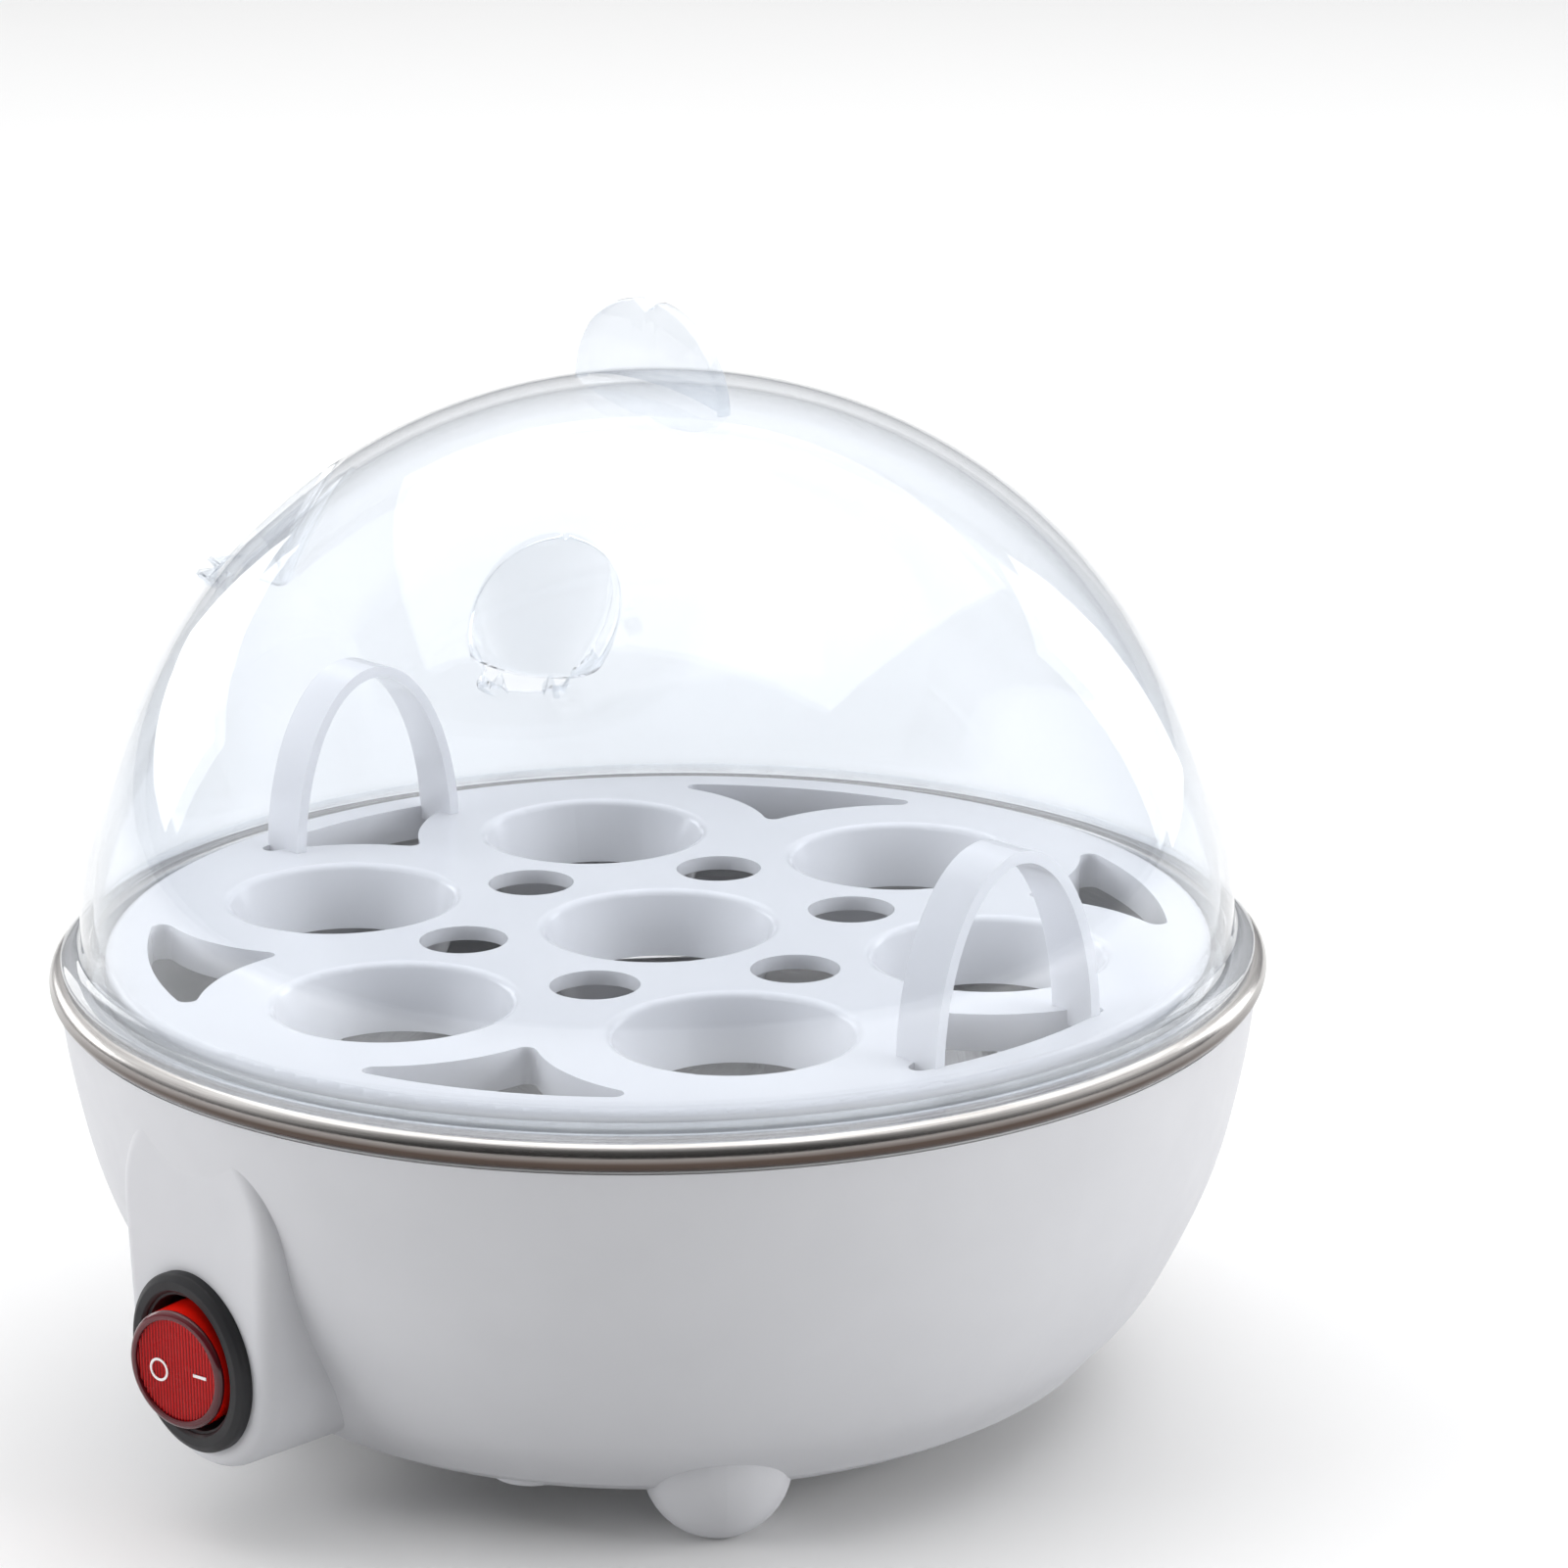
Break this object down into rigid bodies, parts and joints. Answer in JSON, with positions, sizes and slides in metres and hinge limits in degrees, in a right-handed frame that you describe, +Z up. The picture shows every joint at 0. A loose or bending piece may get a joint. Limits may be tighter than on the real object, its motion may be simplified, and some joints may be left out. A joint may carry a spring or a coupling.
{
  "type": "egg cooker",
  "caption": "Electric egg cooker: round switched base, steel water pan, egg tray with two handles and clear domed steam lid.",
  "frame": {"origin": "centre of the underside at table level, on the pan's axis", "axes": "+Z up, -Y towards the side with the switch, +Y towards the cord inlet"},
  "size_m": [0.165, 0.1711, 0.1499],
  "materials": {
    "lid": "clear, polished",
    "egg_tray": "glossy white",
    "heating_pan": "brushed in circles, rolled rim bright",
    "rim_gasket": "soft, white-grey",
    "housing": "satin white",
    "bottom_cover": "matt white-grey",
    "cover_screws": "zinc-plated",
    "pan_standoffs": "turned",
    "pan_screws": "zinc-plated",
    "heat_spreader": "rolled sheet",
    "heater_tube": "heat-stained",
    "heater_seals": "cast ceramic",
    "heater_pins": "drawn",
    "heater_clamp": "pressed sheet",
    "clamp_studs": "zinc-plated",
    "clamp_nuts": "zinc-plated",
    "thermostat": "phenolic body",
    "thermostat_terminals": "stamped",
    "thermostat_bracket": "pressed",
    "bracket_screws": "zinc-plated",
    "thermal_fuse": "plated case and leads",
    "fuse_sleeve": "woven glass sleeve",
    "switch_body": "black nylon, satin bezel",
    "switch_rocker": "clear red, ribbed",
    "switch_plunger": "natural acetal",
    "switch_spring": "spring wire",
    "switch_contact": "copper alloy strip",
    "switch_terminals": "tinned brass",
    "neon_lamp": "clear glass",
    "cord_gland": "white",
    "cord_clamp": "white nylon",
    "cord_clamp_screws": "zinc-plated",
    "terminal_block": "natural nylon",
    "terminal_screws": "slotted",
    "wire_live": "brown insulation",
    "wire_lamp": "blue insulation",
    "wire_neutral": "blue insulation",
    "wire_switched": "red insulation",
    "wire_fuse": "white heat-proof insulation",
    "wire_heater": "white heat-proof insulation",
    "earth_wire": "green-yellow insulation",
    "earth_tag": "tinned"
  },
  "bodies": {
    "base": {"heating_pan": "heating_pan", "rim_gasket": "rim_gasket", "housing": "housing", "bottom_cover": "bottom_cover", "cover_screws": "cover_screws", "pan_standoffs": "pan_standoffs", "pan_screws": "pan_screws", "heat_spreader": "heat_spreader", "heater_tube": "heater_tube", "heater_seals": "heater_seals", "heater_pins": "heater_pins", "heater_clamp": "heater_clamp", "clamp_studs": "clamp_studs", "clamp_nuts": "clamp_nuts", "thermostat": "thermostat", "thermostat_terminals": "thermostat_terminals", "thermostat_bracket": "thermostat_bracket", "bracket_screws": "bracket_screws", "thermal_fuse": "thermal_fuse", "fuse_sleeve": "fuse_sleeve", "switch_body": "switch_body", "switch_terminals": "switch_terminals", "neon_lamp": "neon_lamp", "cord_gland": "cord_gland", "cord_clamp": "cord_clamp", "cord_clamp_screws": "cord_clamp_screws", "terminal_block": "terminal_block", "terminal_screws": "terminal_screws", "wire_live": "wire_live", "wire_lamp": "wire_lamp", "wire_neutral": "wire_neutral", "wire_switched": "wire_switched", "wire_fuse": "wire_fuse", "wire_heater": "wire_heater", "earth_wire": "earth_wire", "earth_tag": "earth_tag"},
    "lid": {"lid": "lid"},
    "tray": {"egg_tray": "egg_tray"},
    "rocker": {"switch_rocker": "switch_rocker", "switch_plunger": "switch_plunger", "switch_spring": "switch_spring"},
    "contact": {"switch_contact": "switch_contact"}
  },
  "joints": [
    {"name": "tray_lift", "type": "slide", "parent": "base", "child": "tray", "axis": [0, 0, 1], "range_m": [0, 0.1]},
    {"name": "lid_lift", "type": "slide", "parent": "tray", "child": "lid", "axis": [0, 0, 1], "range_m": [0, 0.12]},
    {"name": "rocker_tilt", "type": "hinge", "parent": "base", "child": "rocker", "pos_m": [0, -0.0793, 0.0234], "axis": [0, 0, 1], "range_deg": [-22, 0]},
    {"name": "contact_tilt", "type": "hinge", "parent": "base", "child": "contact", "pos_m": [0, -0.0717, 0.0234], "axis": [0, 0, 1], "range_deg": [-0.5, 12.5]}
  ],
  "couplings": [
    {"joint": "contact_tilt", "follows": "rocker_tilt", "ratio": -0.5}
  ]
}
